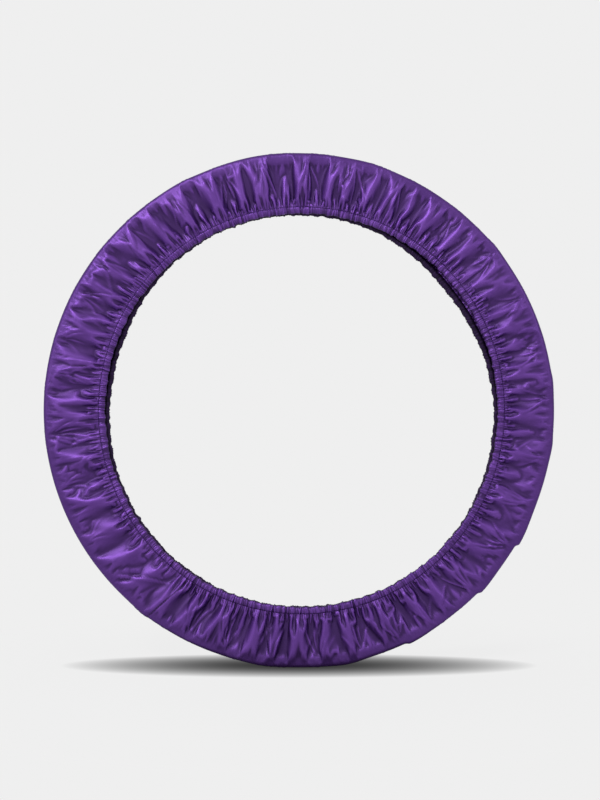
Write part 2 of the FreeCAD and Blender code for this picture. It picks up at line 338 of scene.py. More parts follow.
def start_points(rows, columns, limits):
    """Return the strip's first places and its cloth lengths along and across."""
    rng = np.random.default_rng(FOLD_SEED)
    profile = [wrap_profile(share) for share in np.linspace(0, 1, rows + 1)]
    radius = np.array([row[0] for row in profile])[:, None]
    depth = np.array([row[1] for row in profile])[:, None]
    out = np.array([row[2] for row in profile])
    half = rows // 2 + 1
    front = seed_folds((half, columns), rng)
    back = seed_folds((half, columns), rng)[::-1]
    height = np.concatenate([front, back[1:]])
    angles = ring_angles(columns)
    part = np.clip((radius - STITCH_RADIUS) / (RING_RADIUS - STITCH_RADIUS), 0, 1)
    shift = np.concatenate(
        [np.tile(hem_shift(angles, -1), (half, 1)), np.tile(hem_shift(angles, 1), (half - 1, 1))]
    )
    radius = radius + shift * (1 - part)
    reach = radius + height * out[:, :1]
    level = depth + height * out[:, 1:]
    level[0] += PINCH
    level[-1] -= PINCH
    points = on_ring(angles, reach, level)
    # The spare cloth is fullest at the hem and where the cloth crowds, and least at the rim.
    own = settings()
    crowd = crowding(angles)[None, :]
    uneven = 1 + 0.6 * wave_noise(rng, columns, 0.045)[None, :]
    spare = own.hem_fullness * (1 - part) ** (3.6 - 1.6 * crowd) * uneven
    near_rim = np.clip((part - 0.90) / 0.10, 0, 1)
    spare = spare + own.spare_length * (0.5 + 1.0 * crowd) * (1 - 0.6 * near_rim)
    spare = np.minimum(limits[0] + (limits[1] - limits[0]) * crowd, spare)
    spare = spare * (1 - 0.85 * calm(angles))[None, :]
    along = 2 * pi * radius / columns * (1 + spare)
    across = strip_width() / rows * (1 - shift / wall_length() * (part < 1)) * SLACK
    return points, along, across


# ------------------------------------------------------------------ the cloth's settling

WEAVE_HOLD = 0.5  # how fully each step mends a thread's length
BIAS_HOLD = 0.2  # the same for the cloth's slanted stretch


def link_points(along, across, stiffness):
    """List the cloth's links: first and second points, length and hold."""
    rows, columns = along.shape
    index = np.arange(rows * columns).reshape(rows, columns)
    links = []

    def add(first, second, length, hold):
        links.append((first.ravel(), second.ravel(), length.ravel().astype(np.float32), hold))

    for start in (0, 1):
        ahead = np.roll(index, -1, axis=1)
        add(index[:, start::2], ahead[:, start::2], along[:, start::2], WEAVE_HOLD)
        top = index[start:-1:2]
        add(top, index[start + 1::2], across[start:-1:2], WEAVE_HOLD)
        slanted_length = np.hypot(along[start:-1:2], across[start:-1:2])
        for turn in (-1, 1):
            add(top, np.roll(index[start + 1::2], turn, axis=1), slanted_length, BIAS_HOLD)
    far = np.roll(index, -2, axis=1)
    for pair in (0, 1):
        pick = (np.arange(columns) // 2) % 2 == pair
        add(index[:, pick], far[:, pick], 2 * along[:, pick], stiffness)
        lines = np.array([row for row in range(rows - 2) if (row // 2) % 2 == pair])
        add(index[lines], index[lines + 2], 2 * across[lines], stiffness)
    return links


def keep_clear(points, side):
    """Keep the cloth outside the tube and each wall on its own side."""
    ring = np.hypot(points[:, 0], points[:, 2])
    over = ring - RING_RADIUS
    gap = np.hypot(over, points[:, 1]) + 1e-9
    push = np.maximum(0, TUBE_RADIUS + TOUCH - gap) / gap
    spread = 1 + over * push / ring
    points[:, 0] *= spread
    points[:, 2] *= spread
    points[:, 1] *= 1 + push
    crossed = (over < 0) & (points[:, 1] * side < TOUCH)
    points[crossed, 1] = TOUCH * side[crossed]


def wall_sides(rows, columns):
    """Return each point's side: -1 on the front wall and the rim, 1 on the back wall."""
    return np.where(np.arange(rows) <= rows // 2, -1, 1).repeat(columns)


def settle(points, along, across, steps, stiffness):
    """Let the cloth settle over the tube between its sewn rows."""
    rows, columns, _ = points.shape
    links = link_points(along, across, stiffness)
    flat = points.reshape(-1, 3).astype(np.float32)
    side = wall_sides(rows, columns)
    sewn = np.r_[0:columns, (rows - 1) * columns:rows * columns]
    rim = slice(rows // 2 * columns, (rows // 2 + 1) * columns)
    held = flat[sewn].copy()
    old = flat.copy()
    for step in range(steps):
        # The motion dies away faster in the last fifth of the steps.
        pace = (flat - old) * (0.9 if step < steps * 0.8 else 0.6)
        old = flat.copy()
        flat += pace
        for first, second, length, hold in links:
            gap = flat[second] - flat[first]
            size = np.sqrt(np.einsum("ij,ij->i", gap, gap)) + 1e-9
            gap *= (hold * (1 - length / size))[:, None]
            flat[first] += gap
            flat[second] -= gap
        flat[rim, 1] *= 0.5
        keep_clear(flat, side)
        flat[sewn] = held
    return flat.reshape(rows, columns, 3)


def widen(points):
    """Return the points of a grid with twice the columns."""
    rows, columns, _ = points.shape
    wide = np.empty((rows, columns * 2, 3))
    ahead, after, before = (np.roll(points, -k, axis=1) for k in (1, 2, -1))
    wide[:, 0::2] = points
    wide[:, 1::2] = (9 * (points + ahead) - after - before) / 16
    return wide


def heighten(points):
    """Return the points of a grid with twice the rows."""
    rows, columns, _ = points.shape
    tall = np.empty((rows * 2 - 1, columns, 3))
    tall[0::2] = points
    tall[1::2] = (points[:-1] + points[1:]) / 2
    tall[3:-2:2] = (9 * (points[1:-2] + points[2:-1]) - points[:-3] - points[3:]) / 16
    return tall


# Creases pressed into the front alone: the angle and reach (0 at the hem, 1 at the rim) of
# each end, how wide and how proud.
CREASES = [
    (222.4, 0.98, 236.5, 0.22, 0.0024, 0.0019),
    (229.5, 0.93, 232.5, 0.45, 0.0024, 0.0008),
]

# Fans of creases that start together at the rim: angle, how many, their spread in
# degrees, their length as a share of the wall, and their height.
FANS = [
    (152, 4, 7, 0.75, 0.0011), (163, 3, 5, 0.6, 0.0009), (143, 3, 6, 0.8, 0.0010),
    (171, 3, 6, 0.85, 0.0012), (186, 4, 7, 0.8, 0.0010), (198, 3, 5, 0.7, 0.0007),
    (133, 3, 6, 0.7, 0.0010), (121, 3, 5, 0.8, 0.0010), (212, 3, 6, 0.6, 0.0006),
    (39, 4, 7, 0.7, 0.0012), (52, 3, 6, 0.8, 0.0010), (27, 3, 6, 0.6, 0.0010),
    (14, 3, 5, 0.7, 0.0010), (3, 3, 6, 0.8, 0.0011), (349, 3, 6, 0.7, 0.0010),
    (338, 4, 7, 0.8, 0.0012), (327, 4, 8, 0.8, 0.0014), (314, 4, 8, 0.8, 0.0014),
    (302, 3, 5, 0.7, 0.0011), (294, 4, 7, 0.7, 0.0013),
    (108, 4, 7, 0.9, 0.0012), (99, 4, 8, 0.9, 0.0014), (88, 4, 7, 0.9, 0.0013),
    (77, 4, 8, 0.9, 0.0014), (66, 3, 6, 0.9, 0.0011), (244, 4, 7, 0.9, 0.0013),
    (253, 4, 7, 0.9, 0.0014), (264, 4, 8, 0.9, 0.0014), (275, 4, 7, 0.9, 0.0014),
    (285, 4, 7, 0.9, 0.0013),
]

LOOSE_CREASES = 90  # how many creases lie at random over each wall
CREASE_SPREAD = 0.16  # the angle that a crease reaches to each side of its middle
CREASE_BOW = 0.05  # how far a crease bows, as a share of its length


def press_crease(height, grid, start, end, width, tall):
    """Add one crease's height to a wall, between two places (angle, reach)."""
    angles, reach, radius = grid
    middle = (start[0] + end[0]) / 2
    near = np.abs(away_from(angles, middle)) < CREASE_SPREAD
    wall = RING_RADIUS - STITCH_RADIUS
    turn = away_from(angles[near], middle)
    along = turn[None, :] * radius[:, None]
    across = np.broadcast_to(reach[:, None] * wall, along.shape)
    radii = [STITCH_RADIUS + wall * place[1] for place in (start, end)]
    first = np.array([(start[0] - middle) * radii[0], start[1] * wall])
    last = np.array([(end[0] - middle) * radii[1], end[1] * wall])
    run = last - first
    length = np.hypot(*run)
    run = run / length
    ahead = ((along - first[0]) * run[0] + (across - first[1]) * run[1]) / length
    off = (along - first[0]) * run[1] - (across - first[1]) * run[0]
    off = off - CREASE_BOW * length * np.sin(pi * np.clip(ahead, 0, 1))
    # It rises at once and fades away over its last half.
    taper = np.clip(ahead * 14, 0, 1) * np.clip((1 - ahead) * 2.2, 0, 1)
    ridge = np.exp(-(off / width) ** 2)
    dip = 0.55 * np.exp(-((off - 1.9 * width) / (1.3 * width)) ** 2)
    height[:, near] += tall * (ridge - dip) * taper


def pressed_creases(shape, side):
    """Return the height of the creases over one wall, row 0 at the hem."""
    rows, columns = shape
    angles = ring_angles(columns)
    reach = np.linspace(0, 1, rows)
    grid = (angles, reach, STITCH_RADIUS + reach * (RING_RADIUS - STITCH_RADIUS))
    height = np.zeros(shape)
    rng = np.random.default_rng(CREASE_SEED + side)
    if side < 0:
        for turn, out, last, inner, width, tall in CREASES:
            press_crease(height, grid, (radians(turn), out), (radians(last), inner), width, tall)
    for turn, count, spread, long, tall in FANS:
        aim = radians(turn if side < 0 else 180 - turn)
        for number in range(count):
            lean = (number / (count - 1) - 0.5) * radians(spread) * rng.uniform(0.7, 1.3)
            end = (aim + lean, 0.98 - long * rng.uniform(0.6, 1.0))
            start = (aim + 0.12 * lean, rng.uniform(0.93, 1.0))
            width = rng.uniform(0.0012, 0.0020)
            press_crease(height, grid, start, end, width, tall * rng.uniform(0.9, 1.7))
    for _ in range(LOOSE_CREASES):
        aim = rng.uniform(0, 2 * pi)
        if calm(aim) > 0.01 or swell(aim, 205, 10) > 0.4:
            continue
        start = (aim, rng.uniform(0.05, 0.9))
        end = (aim + rng.normal(0, 0.04), start[1] + rng.choice((-1, 1)) * rng.uniform(0.35, 0.8))
        width = rng.uniform(0.0016, 0.0028)
        press_crease(height, grid, start, end, width, rng.uniform(0.0006, 0.0014))
    return height


# Pouches where the cloth stands off the rim: angle, half-width in degrees each way, height.
POUCHES = [
    (40, 4, 2, 0.0014), (7, 3, 1.5, 0.0012), (352, 3, 2, 0.0014), (328.5, 0.5, 6, 0.0048),
    (315, 0.6, 5, 0.0040), (295.5, 0.7, 6, 0.0037), (281, 5, 4, 0.0030), (262, 5, 4, 0.0016),
    (233, 2.5, 1.5, 0.0018), (100, 9, 7, 0.0014), (118, 4, 5, 0.0010), (74, 4, 4, 0.0012),
]

RIM_SLACK = 0.0032  # how far the rim's cloth stands off at the top and bottom
RIM_ZONE = (0.385, RING_RADIUS + 0.004)  # the radii between which it starts to stand off


def rim_stand(angles):
    """Return how far the rim's cloth stands off the tube, most at the top and bottom."""
    stand = RIM_SLACK * np.sin(angles) ** 4
    for turn, before, after, tall in POUCHES:
        off = np.degrees(away_from(angles, radians(turn)))
        width = np.where(off < 0, before, after)
        stand = stand + tall * np.exp(-(off / width) ** 2)
    return stand


def stand_rim(points):
    """Let the rim's cloth stand off the tube: its roll is squarer and slack in places."""
    ring = np.hypot(points[..., 0], points[..., 2])
    over = np.maximum(ring - RING_RADIUS, 0)
    bend = np.arctan2(np.abs(points[..., 1]), over)
    square = (np.cos(bend) ** 4 + np.sin(bend) ** 4) ** -0.25
    share = eased(np.clip((ring - RIM_ZONE[0]) / (RIM_ZONE[1] - RIM_ZONE[0]), 0, 1))
    stand = rim_stand(ring_angles(points.shape[1]))[None, :] * share
    spread = 1 + (over * (square - 1) + stand) / ring
    points[..., 0] *= spread
    points[..., 2] *= spread
    points[..., 1] *= np.where(over > 0, square, 1)
    return points


def sharpen(points, amount):
    """Draw the folds' ridges narrower and their valleys deeper."""
    level = points[..., 1]
    soft = level
    for _ in range(3):
        soft = blur_across(blur_along(soft))
    ring = np.hypot(points[..., 0], points[..., 2])
    fade = np.clip((RING_RADIUS - ring) / 0.012, 0, 1)
    fade = fade * np.clip((ring - STITCH_RADIUS) / 0.004, 0, 1)
    points[..., 1] = level + amount * (level - soft) * fade
    return points


def press(points):
    """Press the creases into both settled walls."""
    rows, columns, _ = points.shape
    wall = int(rows * wall_length() / strip_width())
    ease = np.minimum(1, np.linspace(0, 6, wall))[:, None]
    for side in (-1, 1):
        height = pressed_creases((wall, columns), side) * ease
        if side < 0:
            points[:wall, :, 1] -= height
        else:
            points[rows - wall:, :, 1] += height[::-1]
    return points


def sewn_row(columns, side):
    """Return the points of a sewn row, pinched by its thread."""
    angles = ring_angles(columns)
    radius = STITCH_RADIUS + hem_shift(angles, side)
    level = side * (HEM_DEPTH - PINCH + PUCKER * hem_puckers(columns, side))
    return on_ring(angles, radius, level)


def grid_object(name, points, painted_fold_shade, seam):
    """Make a closed grid object from rows of points that go once round the ring.

    The two marks, from 0 to 1, set the painted shade in the cloth's colour: the first is how proud
    each point stands, which paints shade into dips and highlight onto ridges, the second how near
    it is to the closing seam, whose groove is painted dark.
    """
    points, painted_fold_shade, seam = (
        np.concatenate([part, part[:, :1]], axis=1) for part in (points, painted_fold_shade, seam)
    )
    rows, columns, _ = points.shape
    bm = bmesh.new()
    bm.loops.layers.uv.new("cloth")
    layers = [bm.verts.layers.float.new(label) for label in ("painted_fold_shade", "seam")]
    bmesh.ops.create_grid(
        bm, x_segments=columns - 1, y_segments=rows - 1, size=0.5, calc_uvs=True
    )
    values = zip(bm.verts, points.reshape(-1, 3), painted_fold_shade.ravel(), seam.ravel())
    for vert, place, high, sewn in values:
        vert.co = place
        vert[layers[0]] = high
        vert[layers[1]] = sewn
    bmesh.ops.remove_doubles(bm, verts=bm.verts, dist=1e-7)
    bmesh.ops.recalc_face_normals(bm, faces=bm.faces)
    return finish_mesh(name, bm)


# Painted light: a fold this proud gets the brightest painted highlight, and a dip this deep the
# darkest painted shade.
HIGHLIGHT_HEIGHT = 0.0012  # how proud a fold stands where its tone is lightest


def fold_shade_marks(points):
    """Return how proud each point stands of its folds' middle, from 0 to 1, the mark for the
    painted shade in the dips and the painted highlight on the ridges.
    """
    rows = len(points)
    side = np.where(np.arange(rows) < rows / 2, -1, 1)[:, None]
    level = points[..., 1] * side
    soft = level
    for _ in range(16):
        soft = blur_along(soft)
    for _ in range(2):
        soft = blur_across(soft)
    ring = np.hypot(points[..., 0], points[..., 2])
    fade = np.clip((RING_RADIUS + 0.004 - ring) / 0.012, 0, 1)
    return np.clip(0.5 + 0.5 * (level - soft) / HIGHLIGHT_HEIGHT * fade, 0, 1)


# The settling's rounds, coarse to fine: how many rows and columns of the finest grid one
# face spans, the most spare cloth it gathers at the sides and at the top and bottom, its
# steps and how stiffly it bends.
ROUNDS = [
    (4, 8, (0.10, 0.045), 300, 0.020), (2, 4, (0.15, 0.15), 180, 0.010),
    (1, 2, (0.22, 0.24), 90, 0.005), (1, 1, (1.00, 1.00), 50, 0.003),
]


def settled_strip():
    """Return the strip's points, gathered round by round from broad folds to fine ones."""
    own = settings()
    points = None
    for row_span, column_span, limits, steps, stiffness in ROUNDS:
        rows, columns = own.rows // row_span, own.columns // column_span
        first, along, across = start_points(rows, columns, limits)
        if points is None:
            points = first
        else:
            points = widen(points)
            if len(points) < rows:
                points = heighten(points)
            points[0] = sewn_row(columns, -1)
            points[-1] = sewn_row(columns, 1)
        points = settle(points, along, across, steps, stiffness)
    return points


SEAM_GROOVE = 0.0016  # how deep the closing seam draws the cloth down
SHARPENING = 1.3  # how strongly the settled folds are drawn sharper

# The closing seam's points, which make_strip finds and make_seam_stitches sews along.
SEAM_PLACES = []


def seam_column(share, columns):
    """Return the column, with its fraction, of the closing seam at a share across."""
    slant = radians(1.7) * abs(2 * share - 1) ** 1.2 * (1 if share < 0.5 else 0.3)
    return (settings().seam_angle - radians(1.6) + 1.9 * slant) / (2 * pi) * columns


def sink_seam(points):
    """Draw the cloth down along the closing seam and return how near each point is to it, the mark
    for the painted shade along the seam's groove.
    """
    rows, columns, _ = points.shape
    near = np.zeros((rows, columns))
    for row in range(1, rows - 1):
        off = (np.arange(columns) - seam_column(row / (rows - 1), columns)) / 0.9
        near[row] = np.exp(-off ** 2)
    side = np.sign(points[..., 1])
    points[..., 1] -= side * np.minimum(SEAM_GROOVE * near, np.abs(points[..., 1]) - 0.001)
    return near


def lay_seam(points):
    """Return the seam's points from hem to hem, four to a stitch."""
    rows, columns, _ = points.shape
    count = 4 * round(strip_width() / settings().stitch_pitch)
    places = []
    for share in np.linspace(0.02, 0.98, count):
        row = share * (rows - 1)
        column = seam_column(share, columns)
        low, left = int(row), int(column)
        down, along = row - low, column - left
        corner = points[low:low + 2, left:left + 2]
        edge = corner[0] * (1 - down) + corner[1] * down
        places.append(Vector(edge[0] * (1 - along) + edge[1] * along))
    return places


def make_strip():
    """Make the strip's sleeve, its folds drawn sharp and its creases pressed in."""
    points = stand_rim(press(sharpen(settled_strip(), SHARPENING)))
    near = sink_seam(points)
    keep_clear(points.reshape(-1, 3), wall_sides(*points.shape[:2]))
    SEAM_PLACES[:] = lay_seam(points)
    return grid_object("cover_cloth", points, fold_shade_marks(points), near)


class HOOP_OT_cover(bpy.types.Operator):
    """Make the gathered cloth sleeve round the hoop"""

    bl_idname = "hoop.cover"
    bl_label = "Cover"

    def execute(self, context):
        strip = make_strip()
        dress(strip, "purple_nylon")
        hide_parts("cover_sleeve")
        return {"FINISHED"}


# ------------------------------------------------------------------ the casings

CASING_WIDTH = 0.0123  # from the hem's edge to its sewn row
CASING_PUCKER = 0.0017  # how tall a casing's puckers stand
CASING_SCALLOP = 0.0010  # how far they draw the hem's edge in and out
ELASTIC_RADII = (0.3432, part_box("front_elastic")[1][0])
ELASTIC_DEPTHS = (0.0044, 0.0050, 0.0056)  # the lap's face, the face between, the band's
LAP_LENGTH = 0.020  # how far an elastic's ends overlap

# A casing's section from its sewn row over the outer face, round the hem and back:
# distance out from the hem, depth from the middle, share of the puckers.
CASING_SECTION = [
    (CASING_WIDTH, 0.0071, 1.0), (0.0118, 0.0080, 1.1), (0.0107, 0.0087, 1.2),
    (0.0088, 0.0090, 1.0), (0.0064, 0.0089, 0.8), (0.0042, 0.0086, 0.9),
    (0.0022, 0.0079, 1.1), (0.0008, 0.0069, 1.1), (0.0002, 0.0057, 0.9),
    (0.0009, 0.0043, -0.1), (0.0030, 0.0036, -0.2), (0.0065, 0.0033, -0.2),
    (0.0100, 0.0036, -0.2), (CASING_WIDTH, 0.0055, 0.0),
]


def make_casing(side):
    """Make one hem's casing, a tube of cloth puckered over its elastic."""
    columns = settings().casing_columns
    angles = ring_angles(columns)
    puckers = hem_puckers(columns, side)
    rng = np.random.default_rng(CASING_SEED + side)
    lean = 0.0030 / (HEM_LENGTH / columns) * wave_noise(rng, columns, 0.009)
    creep = 0.0011 * wave_noise(rng, columns, 0.011) + 0.0006 * wave_noise(rng, columns, 0.05)
    shift = hem_shift(angles, side)
    rows, painted_fold_shade = [], []
    for out, depth, share in CASING_SECTION:
        inward = 1 - out / CASING_WIDTH
        wave = shift_columns(puckers[None, :], (lean * inward)[None, :])[0]
        radius = STITCH_RADIUS - CASING_WIDTH + out + shift + creep * inward
        radius = radius - CASING_SCALLOP * np.maximum(wave, -0.3) * share * (depth < 0.0080)
        rows.append(on_ring(angles, radius, side * (depth + CASING_PUCKER * wave * share)))
        # The puckers' tops are marked for painted highlight and their dips for painted shade.
        painted_fold_shade.append(np.clip(0.5 + 0.5 * wave, 0, 1))
    painted_fold_shade = np.array(painted_fold_shade)
    return grid_object(f"{HEMS[side]}_casing", np.array(rows), painted_fold_shade, 0 * painted_fold_shade)


def spin_band(name, corners, side, start, turn):
    """Make a flat band round a hem from its section's corners."""
    bm = bmesh.new()
    verts = [bm.verts.new((radius, side * depth, 0)) for radius, depth in corners]
    geom = verts + [bm.edges.new((verts[i - 1], verts[i])) for i in range(len(verts))]
    full = turn >= 2 * pi
    if not full:
        geom.append(bm.faces.new(verts))
    bmesh.ops.rotate(bm, verts=verts, cent=(0, 0, 0), matrix=Matrix.Rotation(-start, 3, "Y"))
    bmesh.ops.spin(
        bm, geom=geom, cent=(0, 0, 0), axis=(0, -1, 0), dvec=(0, 0, 0), angle=turn,
        steps=max(6, int(turn * 90)), use_merge=full, use_duplicate=False,
    )
    for vert in bm.verts:
        angle = atan2(vert.co.z, vert.co.x)
        shift = hem_shift(angle, side)
        vert.co += Vector((shift * cos(angle), 0, shift * sin(angle)))
    bmesh.ops.remove_doubles(bm, verts=bm.verts, dist=1e-7)
    bmesh.ops.recalc_face_normals(bm, faces=bm.faces)
    return finish_mesh(name, bm, smooth=False)


def make_elastic(side):
    """Make one hem's elastic, its ends lapped where the strip is sewn together."""
    hem = HEMS[side]
    near, far = ELASTIC_RADII
    low, middle, high = ELASTIC_DEPTHS
    ring = spin_band(
        f"{hem}_elastic_band", [(near, middle), (far, middle), (far, high), (near, high)],
        side, 0.0, 2 * pi,
    )
    dress(ring, "elastic_knit")
    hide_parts(f"{hem}_elastic")
    lap = LAP_LENGTH / near
    over = spin_band(
        f"{hem}_elastic_lap", [(near, low), (far, low), (far, middle), (near, middle)],
        side, settings().seam_angle - lap / 2, lap,
    )
    dress(over, "elastic_knit")


class HOOP_OT_casings(bpy.types.Operator):
    """Make the two puckered casings along the hems, with their elastics"""

    bl_idname = "hoop.casings"
    bl_label = "Casings"

    def execute(self, context):
        for side in (-1, 1):
            casing = make_casing(side)
            dress(casing, "purple_nylon_casing")
            make_elastic(side)
        return {"FINISHED"}


# ------------------------------------------------------------------ the sewing

STITCH_SHARE = 0.42  # half a stitch's length, as a share of the pitch
HEM_LIFT = 0.0003  # how far a hem's thread lies above the cloth's sewn row
HEM_OUT = 0.0002  # how far it lies outside that row
SEAM_LIFT = 0.0002  # how far the closing seam's thread lies above the cloth


def add_stitch(bm, start, end, radius):
    """Add one stitch, a short thread drawn down at both its ends."""
    run = end - start
    matrix = (
        Matrix.Translation((start + end) / 2)
        @ run.to_track_quat("X", "Z").to_matrix().to_4x4()
        @ Matrix.Diagonal((run.length / 2, radius, radius, 1))
        @ Matrix.Rotation(pi / 2, 4, "Y")
    )
    bmesh.ops.create_uvsphere(bm, u_segments=6, v_segments=5, radius=1, matrix=matrix)


def make_hem_stitches(side):
    """Make the row of stitches that closes one casing, lying in its groove."""
    own = settings()
    count = round(HEM_LENGTH / own.stitch_pitch)
    half = Vector((0, 0, STITCH_SHARE * HEM_LENGTH / count))
    bm = bmesh.new()
    add_stitch(bm, -half, half, own.thread_radius)
    bmesh.ops.translate(bm, verts=bm.verts, vec=(STITCH_RADIUS, 0, 0))
    bmesh.ops.spin(
        bm, geom=bm.verts[:] + bm.edges[:] + bm.faces[:], cent=(0, 0, 0), axis=(0, -1, 0),
        dvec=(0, 0, 0), angle=2 * pi * (count - 1) / count, steps=count - 1, use_duplicate=True,
    )
    steps = count * 8
    puckers = hem_puckers(steps, side)
    for vert in bm.verts:
        angle = atan2(vert.co.z, vert.co.x)
        stretch = 1 + (HEM_OUT + hem_shift(angle, side)) / STITCH_RADIUS
        vert.co.x *= stretch
        vert.co.z *= stretch
        pucker = puckers[int(angle / (2 * pi) * steps) % steps]
        vert.co.y += side * (HEM_DEPTH - PINCH + HEM_LIFT + PUCKER * pucker)
    return finish_mesh(f"{HEMS[side]}_casing_stitches", bm)


def make_seam_stitches():
    """Make the stitches that join the strip's two ends, lying on the cloth."""
    bm = bmesh.new()
    for start in range(0, len(SEAM_PLACES) - 3, 4):
        ends = [place.copy() for place in (SEAM_PLACES[start], SEAM_PLACES[start + 3])]
        for end in ends:
            reach = hypot(end.x, end.z)
            over = max(0.0, reach - RING_RADIUS) / reach
            end += Vector((end.x * over, end.y, end.z * over)).normalized() * SEAM_LIFT
        add_stitch(bm, ends[0], ends[1], settings().thread_radius)
    return finish_mesh("closing_seam_stitches", bm)


class HOOP_OT_sewing(bpy.types.Operator):
    """Make the stitches along both casings and across the closing seam"""

    bl_idname = "hoop.sewing"
    bl_label = "Sewing"

    def execute(self, context):
        for side, hem in HEMS.items():
            row = make_hem_stitches(side)
            dress(row, "sewing_thread")
            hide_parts(f"{hem}_casing_stitching")
        seam = make_seam_stitches()
        dress(seam, "sewing_thread")
        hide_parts("closing_seam_stitching")
        return {"FINISHED"}


# ------------------------------------------------------------------ materials


class Paint:
    """A material's nodes, added and joined by short calls."""

    def __init__(self, name, colour, roughness):
        self.material = bpy.data.materials.new(name)
        self.material.use_nodes = True
        self.tree = self.material.node_tree
        self.shader = self.tree.nodes["Principled BSDF"]
        self.set(self.shader, "Base Color", (*colour, 1))
        self.set(self.shader, "Roughness", roughness)

    def set(self, node, socket, value):
        """Set a socket to a value, or join it to another node's output."""
        if isinstance(value, bpy.types.NodeSocket):
            self.tree.links.new(value, node.inputs[socket])
        else:
            node.inputs[socket].default_value = value

    def add(self, kind, out=0, own=None, **sockets):
        """Add a node, set its own values and its sockets, and return an output."""
        node = self.tree.nodes.new(kind)
        for name, value in (own or {}).items():
            setattr(node, name, value)
        for name, value in sockets.items():
            key = int(name[1:]) if name[0] == "_" and name[1:].isdigit() else name.replace("_", " ")
            self.set(node, key, value)
        return node.outputs[out]

    def math(self, operation, *values):
        """Return what a sum gives for its values, which are numbers or outputs."""
        sockets = {f"_{number}": value for number, value in enumerate(values)}
        return self.add("ShaderNodeMath", own={"operation": operation}, **sockets)

    def noise(self, place, scale, detail=3.0, roughness=0.5):
        """Return a noise pattern's value at a place."""
        return self.add(
            "ShaderNodeTexNoise", Vector=place, Scale=scale, Detail=detail, Roughness=roughness
        )

    def ramp(self, value, low, high, start, end, smooth=True):
        """Return a value mapped from one range to another."""
        kind = "SMOOTHSTEP" if smooth else "LINEAR"
        return self.add(
            "ShaderNodeMapRange", own={"interpolation_type": kind}, Value=value,
            _1=low, _2=high, _3=start, _4=end,
        )

    def tone(self, share, first, second):
        """Return a colour between two, by a share; each is a colour or an output."""
        first, second = (
            (*colour, 1) if isinstance(colour, tuple) else colour for colour in (first, second)
        )
        return self.add(
            "ShaderNodeMix", out=2, own={"data_type": "RGBA"}, _0=share, _6=first, _7=second
        )

    def bump(self, height, strength, distance, normal=None):
        """Return a bumped normal."""
        sockets = {"Height": height, "Strength": strength, "Distance": distance}
        if normal is not None:
            sockets["Normal"] = normal
        return self.add("ShaderNodeBump", **sockets)


PAINTED_HEM_SHADE = (0.022, 0.008, 0.044)  # the painted shade on the folded-in half of each casing, near black


def cloth_material(name, hem_shaded=False):
    """Make the purple nylon: a fine smooth weave with a satin gloss."""
    own = settings()
    deep, light = tuple(own.cloth_dark), tuple(own.cloth_light)
    paint = Paint(name, deep, 0.45)
    uv = paint.add("ShaderNodeUVMap", own={"uv_map": "cloth"})
    place = paint.add("ShaderNodeTexCoord", out=3)
    patch = paint.noise(place, 16.0, 4.0, 0.6)
    streak = paint.add("ShaderNodeMapping", Vector=uv, Scale=(900.0, 14.0, 1.0))
    slub = paint.noise(streak, 1.0, 2.0, 0.5)
    mixed = paint.math("MULTIPLY_ADD", slub, 0.35, patch)
    share = paint.ramp(mixed, 0.45, 0.9, 0.0, 1.0)
    colour = paint.tone(share, deep, light)
    if hem_shaded:
        # Painted shade: the folded-in half of a casing is painted near black, as the shade inside
        # the hem.
        across = paint.add("ShaderNodeSeparateXYZ", out=1, Vector=uv)
        shaded_half = paint.ramp(across, 0.53, 0.62, 0.0, 1.0)
        colour = paint.tone(shaded_half, colour, PAINTED_HEM_SHADE)
    # Painted shade and highlight: the dips of the folds and puckers are darkened and their ridges
    # lightened, and the closing seam's groove is painted as a dark line.
    high = paint.add("ShaderNodeAttribute", out=2, own={"attribute_name": "painted_fold_shade"})
    sewn = paint.add("ShaderNodeAttribute", out=2, own={"attribute_name": "seam"})
    # Painted shade in the dips and painted highlight on the ridges.
    depth = paint.ramp(high, 0.10, 0.85, 0.44, 1.2)
    # Painted shade: a dark line along the closing seam's groove.
    seam_shade = paint.ramp(sewn, 0.25, 0.9, 1.0, 0.3)
    dip = paint.math("MULTIPLY", depth, seam_shade)
    colour = paint.add("ShaderNodeVectorMath", own={"operation": "SCALE"}, _0=colour, Scale=dip)
    paint.set(paint.shader, "Base Color", colour)
    paint.set(paint.shader, "Roughness", paint.ramp(patch, 0.3, 0.7, 0.40, 0.49))
    warp = paint.add("ShaderNodeMapping", Vector=uv, Scale=(5600.0, 0.0, 1.0))
    weft = paint.add("ShaderNodeMapping", Vector=uv, Scale=(0.0, 380.0, 1.0))
    threads = [
        paint.add("ShaderNodeTexWave", out=1, own={"bands_direction": way}, Vector=axis, Scale=1.0)
        for axis, way in ((warp, "X"), (weft, "Y"))
    ]
    fine = paint.bump(paint.math("ADD", *threads), 0.12, 0.00005)
    paint.set(paint.shader, "Normal", paint.bump(patch, 0.25, 0.0008, fine))
    paint.set(paint.shader, "Metallic", 0.67)
    paint.set(paint.shader, "Specular IOR Level", 0.35)


def speckled(name, first, second, roughness, scale, depth, metallic=0.0):
    """Make a finish whose tone and surface vary with a fine pattern."""
    paint = Paint(name, first, roughness)
    place = paint.add("ShaderNodeTexCoord", out=3)
    grain = paint.noise(place, scale, 4.0, 0.6)
    paint.set(paint.shader, "Base Color", paint.tone(grain, first, second))
    rough = paint.ramp(grain, 0.2, 0.8, roughness - 0.06, roughness + 0.06)
    paint.set(paint.shader, "Roughness", rough)
    paint.set(paint.shader, "Normal", paint.bump(grain, 0.4, depth))
    paint.set(paint.shader, "Metallic", metallic)


